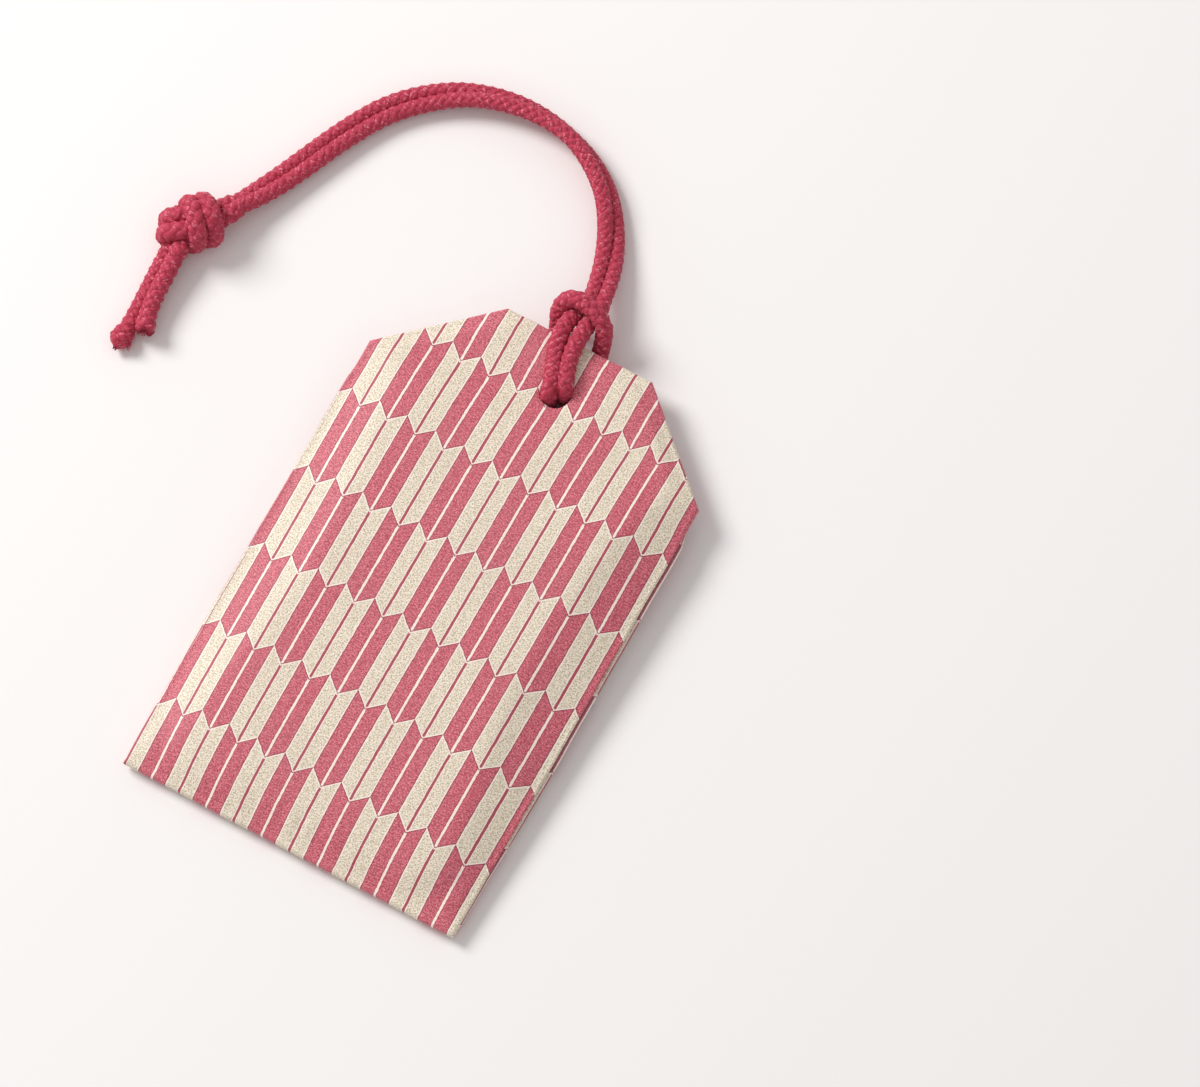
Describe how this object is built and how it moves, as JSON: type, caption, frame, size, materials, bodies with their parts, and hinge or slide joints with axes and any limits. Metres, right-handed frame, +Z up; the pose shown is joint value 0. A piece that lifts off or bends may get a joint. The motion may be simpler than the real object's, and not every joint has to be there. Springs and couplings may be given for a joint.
{
  "type": "scent sachet",
  "caption": "Flat padded scent sachet with cut-off top corners, a printed cover folded over a card, and a doubled braided cord hitched through its hole.",
  "frame": {"origin": "under the middle of the pouch, on the surface that it lies on", "axes": "+X across the pouch, +Y along it towards the cord, +Z up through its printed face"},
  "size_m": [0.0669, 0.0851, 0.0063],
  "materials": {
    "printed_crepe": "matte crepe, printed in rose and cream",
    "backing": "matte",
    "card": "matte",
    "nonwoven": "matte nonwoven",
    "scented_wood": "crushed",
    "braided_cord": "braided, soft sheen"
  },
  "bodies": {
    "root": {"front_cover": "printed_crepe", "back_cover": "backing", "stiffener_card": "card", "scent_packet_front": "nonwoven", "scent_packet_back": "nonwoven", "scent_filling": "scented_wood", "cord_hitch": "braided_cord", "cord_run_left": "braided_cord", "cord_run_right": "braided_cord", "cord_knot": "braided_cord", "cord_tail_left": "braided_cord", "cord_tail_right": "braided_cord"}
  },
  "joints": []
}
